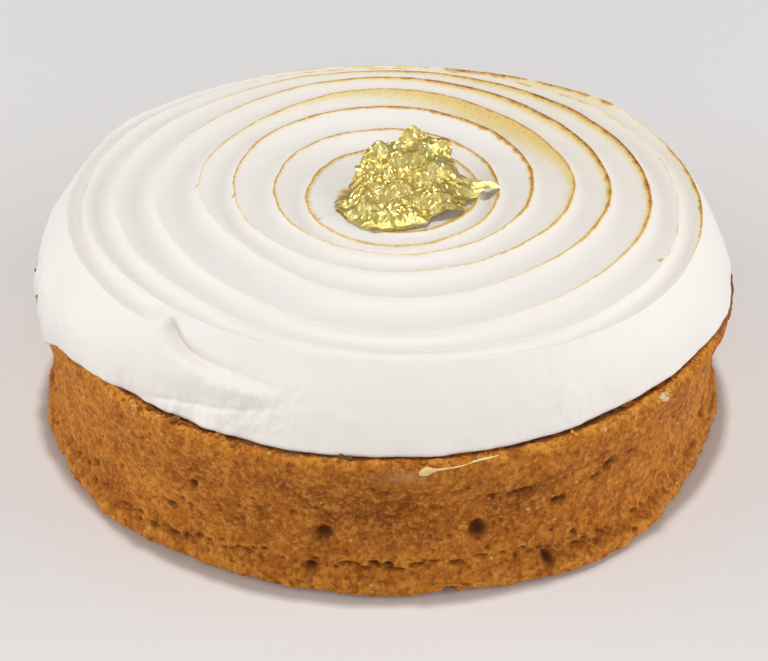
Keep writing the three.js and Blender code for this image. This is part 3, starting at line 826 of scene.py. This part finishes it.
bent_x = x + 0.5 * cloud(flat, 2.6) + 0.2 * cloud(flat, 1.1, 3.0)
bent_y = y + 0.5 * cloud(flat, 2.6, 9.0) + 0.2 * cloud(flat, 1.1, 6.0)
tail = 1 - smooth(6.5, 10, x)
peak = 0.45 + 0.55 * np.exp(-(((x - LEAF_PEAK) / 4) ** 2))
rise = LEAF_RISE * peak * smooth(-7, 6, y)
loose = tail * smooth(-12, -6, y)
folds = 0.85 * crease(bent_x, bent_y, 70, 5.2, 0.1) + 0.6 * crease(bent_x, bent_y, 15, 4.1, 0.35)
folds += 0.5 * crease(bent_x, bent_y, 128, 3.3, 0.6)
small = 0.32 * crease(bent_x, bent_y, 100, 2.4, 0.2) + 0.24 * crease(bent_x, bent_y, 40, 2.0, 0.7)
small += 0.24 * crease(bent_x, bent_y, -20, 2.9, 0.4) + 0.11 * crease(bent_x, bent_y, 80, 1.25, 0.1)
small += 0.08 * crease(bent_x, bent_y, 110, 0.8, 0.3) + 0.07 * crease(bent_x, bent_y, 55, 0.7, 0.5)
small += 0.045 * crease(bent_x, bent_y, 20, 0.45, 0.2) + 0.04 * crease(bent_x, bent_y, 140, 0.4, 0.6)
pinched = 0.5 * crease(bent_x, bent_y, 95, 1.9, 0.2)
level = DOME_HEIGHT + 0.2 + tail * rise + loose * folds + (1 - tail) * pinched
level = level + (0.4 + 0.6 * loose) * (small - 0.3)
# the front lies down on the meringue
under_leaf = dome_height(np.hypot(x, y), degrees) + 0.12
laid = smooth(0.0, 0.5, -np.sin(turned + 0.6)) * (1 - 0.4 * hump(degrees, -48, 16))
level = np.maximum(level, under_leaf)
level = level - 0.75 * laid * smooth(0.65, 1.0, share) * (level - under_leaf)
put_places(leaf, np.stack([x, y, level], -1))
# the foil creases in flat facets
facets = leaf.modifiers.new("facets", "DECIMATE")
facets.ratio = FACETS_KEPT
bpy.ops.object.modifier_apply(modifier="facets")
thick = leaf.modifiers.new("foil", "SOLIDIFY")
thick.thickness = FOIL_THICKNESS * MM
thick.offset = 1
bpy.ops.object.modifier_apply(modifier="foil")
bpy.ops.object.shade_flat()

gold, nodes, links, shader, where = new_material("crumpled_gold_leaf")
tone = noise_texture(nodes, links, where, 500, 3, 0.5)
colour = steps(nodes, links, tone, (0.3, (0.62, 0.45, 0.11)), (0.5, (0.75, 0.61, 0.20)),
               (0.7, (0.82, 0.73, 0.31)))
links.new(colour, shader.inputs["Base Color"])
shader.inputs["Metallic"].default_value = 1.0
shader.inputs["Roughness"].default_value = 0.44
shader.inputs["Coat Weight"].default_value = 0.12
shader.inputs["Coat Roughness"].default_value = 0.2
crinkle = cells(nodes, links, where, 1700)
crinkle.feature = "DISTANCE_TO_EDGE"
links.new(bump(nodes, links, crinkle.outputs["Distance"], 0.0002, 0.15), shader.inputs["Normal"])
leaf.data.materials.append(gold)
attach(leaf, "root")
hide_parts("gold_leaf")


# Crumbs on the rim
# Loose grains and crags of the same pastry, baked on to the lip or stuck against the
# meringue's edge: brown flecks at the left, and a few paler ones along the front.
LUMPS_A_CRAG = 6
LOOSE_GRAINS = 170
# angle round the rim, radius, height, size, paleness
RIM_CRAGS = [
    (176.6, 39.85, 17.0, 0.7, 0.3),
    (180.4, 39.95, 16.9, 0.8, 0.2),
    (182.4, 40.02, 16.9, 0.8, 0.25),
    (190.6, 40.05, 17.0, 0.7, 0.25),
    (192.4, 40.08, 17.0, 0.8, 0.25),
    (194.6, 39.95, 17.0, 0.7, 0.3),
    (-132.4, 39.8, 17.2, 1.6, 0.74),
    (-131.2, 40.0, 16.8, 1.1, 0.76),
    (-129.6, 39.3, 17.5, 1.0, 0.2),
    (-124.0, 39.2, 17.5, 1.3, 0.3),
    (-123.0, 39.35, 17.45, 0.9, 0.35),
    (-116.6, 39.25, 17.5, 1.1, 0.5),
    (-115.2, 39.4, 17.45, 1.0, 0.55),
    (-96.2, 39.3, 17.7, 1.1, 0.0),
    (-95.2, 39.35, 17.65, 0.9, 0.0),
    (-111.6, 40.15, 16.0, 0.5, 0.95),
    (-107.3, 39.85, 17.3, 0.6, 0.9),
    (-53.9, 40.0, 17.0, 0.7, 0.95),
    (-41.0, 40.05, 16.9, 1.0, 1.0),
    (-39.9, 40.0, 17.2, 0.9, 1.0),
    (-40.2, 40.15, 16.6, 0.8, 0.95),
]
draw = np.random.default_rng(5)
crags = []
for turned, out, level, size, pale in RIM_CRAGS:
    for n in range(LUMPS_A_CRAG):
        shift = 0.4 * size * (draw.random(3) - 0.5)
        crags.append((turned + 1.4 * shift[0], out + shift[1], level + shift[2],
                      size * (0.35 + 0.35 * draw.random()), pale * (0.75 + 0.4 * draw.random())))
for n in range(LOOSE_GRAINS):
    out = 39.35 + 0.6 * draw.random()
    turned = 360 * draw.random()
    level = CASE_TOP - 0.9 * max(0, out - 39.3) ** 2 + 0.02
    size = 0.22 + 0.36 * draw.random() ** 2
    pale = 0.25 + 0.5 * draw.random()
    if overhang(turned) < 0.3:
        crags.append((turned, out, level, size, pale))
bpy.ops.object.select_all(action="DESELECT")
bpy.ops.mesh.primitive_ico_sphere_add(subdivisions=3, radius=0.0005, location=(0, 0, 0))
first_crumb = bpy.context.object
ball = mesh_places(first_crumb)
pieces = []
for turned, out, level, size, pale in crags:
    crumb = first_crumb.copy()
    crumb.data = first_crumb.data.copy()
    bpy.context.collection.objects.link(crumb)
    around = math.radians(turned)
    spot = np.array([out * math.cos(around), out * math.sin(around), level])
    lumps = 1 + 0.5 * cloud(ball, 0.42, turned) + 0.3 * cloud(ball, 0.2, turned + 5)
    put_places(crumb, spot + ball * size * lumps[:, None] * (1, 1, 0.8))
    paint(crumb, "pale", np.full(len(ball), pale))
    pieces.append(crumb)
bpy.data.objects.remove(first_crumb)
for crumb in pieces:
    crumb.select_set(True)
bpy.context.view_layer.objects.active = pieces[0]
bpy.ops.object.join()
crumb_scatter = bpy.context.object
crumb_scatter.name = "rim_crumbs"
bpy.ops.object.shade_smooth()

grains, nodes, links, shader, where = new_material("pastry_crumbs")
spots = noise_texture(nodes, links, where, 2200, 3, 0.6)
colour = steps(nodes, links, attribute(nodes, "pale"), (0.05, (0.14, 0.07, 0.022)),
               (0.2, (0.24, 0.075, 0.010)), (0.45, (0.46, 0.165, 0.02)), (0.75, (0.66, 0.30, 0.05)),
               (1.0, (0.90, 0.74, 0.40)))
dark_spots = steps(nodes, links, spots, (0.35, 0.4), (0.6, 0.0))
colour = mix_colour(nodes, links, dark_spots, colour, (0.30, 0.10, 0.015))
links.new(colour, shader.inputs["Base Color"])
shader.inputs["Roughness"].default_value = 0.7
shader.inputs["Specular IOR Level"].default_value = 0.15
links.new(bump(nodes, links, spots, 0.0002, 0.6), shader.inputs["Normal"])
crumb_scatter.data.materials.append(grains)
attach(crumb_scatter, "root")


# Lemon cream smear
# A smear of the tart's lemon cream that ran over the lip at the front and dried there:
# a blob at its left end and a thin tail along the rim.
SMEAR_START = -84.6
SMEAR_SWEEP = 12.4
SMEAR_HEIGHT = 16.3
BLOB_END = 0.1


# the outside of the case, wall and rounded lip
def outer_radius(height):
    over = np.clip((height - LIP_HEIGHT) / LIP_ROUND, 0, 1)
    on_lip = LIP_RADIUS + LIP_ROUND * np.sqrt(1 - over ** 2)
    return np.where(over > 0, on_lip, wall_radius(height))


bpy.ops.object.select_all(action="DESELECT")
bpy.ops.mesh.primitive_grid_add(x_subdivisions=90, y_subdivisions=12, size=2, location=(0, 0, 0))
smear = bpy.context.object
smear.name = "lemon_cream_smear"
bpy.ops.object.mode_set(mode="EDIT")
bpy.ops.mesh.select_all(action="SELECT")
bpy.ops.mesh.extrude_region_move(TRANSFORM_OT_translate={"value": (0, 0, -1)})
bpy.ops.mesh.select_all(action="SELECT")
bpy.ops.mesh.normals_make_consistent(inside=False)
bpy.ops.object.mode_set(mode="OBJECT")
spots = mesh_places(smear) * MM
along = 0.5 * (spots[:, 0] + 1)
across = spots[:, 1]
front = spots[:, 2] > -0.5
turned = SMEAR_START + SMEAR_SWEEP * along
level = SMEAR_HEIGHT + 1.05 * along ** 0.7
rounded = np.sqrt(np.clip(1 - ((BLOB_END - along) / BLOB_END) ** 2, 0, 1))
blob = np.where(along < BLOB_END, rounded, np.exp(-(((along - BLOB_END) / 0.08) ** 2)))
tail = np.where(along < BLOB_END, 0.13 * blob, 0.085 - 0.04 * along)
tail = tail * np.sqrt(np.clip(1 - along ** 20, 0.01, 1))
half = np.maximum(0.38 * blob + tail, 0.02)
level = level + across * half + 0.05 * np.sin(11 * along)
raised = (0.14 + 0.22 * blob) * np.sqrt(np.clip(1 - across ** 2, 0, 1)) - 0.02
raised = np.where(front, raised, -0.15)
around = np.radians(turned)
out = outer_radius(level) + wall_unevenness(around, level) + raised
put_places(smear, np.stack([out * np.cos(around), out * np.sin(around), level], -1))
bpy.ops.object.shade_smooth()

cream, nodes, links, shader, where = new_material("dried_lemon_cream")
tone = noise_texture(nodes, links, where, 900, 3, 0.5)
colour = steps(nodes, links, tone, (0.3, (0.66, 0.42, 0.13)), (0.6, (0.84, 0.65, 0.29)))
links.new(colour, shader.inputs["Base Color"])
shader.inputs["Roughness"].default_value = 0.5
cream_bumps = noise_texture(nodes, links, where, 1800, 2, 0.5)
links.new(bump(nodes, links, cream_bumps, 0.0002, 0.5), shader.inputs["Normal"])
smear.data.materials.append(cream)
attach(smear, "root")


# Floor, light and camera
# A pale satin table top, soft boxes at both sides, in front and above, and the camera
# at the photograph's height, looking down at the front.
CAMERA_DIP = 33.097
CAMERA_ROLL = 0.011
bpy.ops.object.select_all(action="DESELECT")
bpy.ops.mesh.primitive_plane_add(size=4, location=(0, 0, -0.00005))
floor = bpy.context.object
floor.name = "table_top"
table, nodes, links, shader, where = new_material("pale_table")
tint = noise_texture(nodes, links, where, 6, 2, 0.4)
colour = mix_colour(nodes, links, tint, (0.76, 0.745, 0.735), (0.79, 0.775, 0.765))
links.new(colour, shader.inputs["Base Color"])
shader.inputs["Roughness"].default_value = 0.42
floor.data.materials.append(table)

world = bpy.data.worlds.new("studio")
bpy.context.scene.world = world
world.use_nodes = True
background = world.node_tree.nodes["Background"]
background.inputs["Color"].default_value = (1.0, 0.99, 0.98, 1)
background.inputs["Strength"].default_value = 0.20


# a soft box, aimed at the tart
def soft_box(name, place, size, power):
    light = bpy.data.lights.new(name, "AREA")
    light.shape = "RECTANGLE"
    light.size, light.size_y = size
    light.energy = power
    lamp = bpy.data.objects.new(name, light)
    bpy.context.collection.objects.link(lamp)
    toward = np.array((0, 0, 0.02)) - np.array(place)
    pitch = math.atan2(math.hypot(toward[0], toward[1]), -toward[2])
    turned = math.atan2(toward[1], toward[0]) - math.pi / 2
    lamp.location = place
    lamp.rotation_euler = (pitch, 0, turned)


soft_box("left_box", (-1.70, -0.15, 0.50), (1.5, 0.9), 14.9)
soft_box("right_box", (1.70, -0.15, 0.50), (1.5, 0.9), 16.2)
soft_box("front_box", (0.0, -1.65, 0.80), (1.5, 0.8), 7.6)
soft_box("top_box", (0.0, 0.10, 1.60), (0.12, 0.12), 12.2)

camera = bpy.data.cameras.new("camera")
camera.sensor_width = 36
camera.lens = 132.2
camera.clip_start = 0.01
eye = bpy.data.objects.new("camera", camera)
bpy.context.collection.objects.link(eye)
eye.location = (0, -0.27826, 0.18941)
looking = Matrix.Rotation(math.radians(90 - CAMERA_DIP), 3, "X") @ Matrix.Rotation(CAMERA_ROLL, 3, "Z")
eye.rotation_euler = looking.to_euler()
bpy.context.scene.camera = eye
bpy.context.scene.view_settings.view_transform = "Standard"
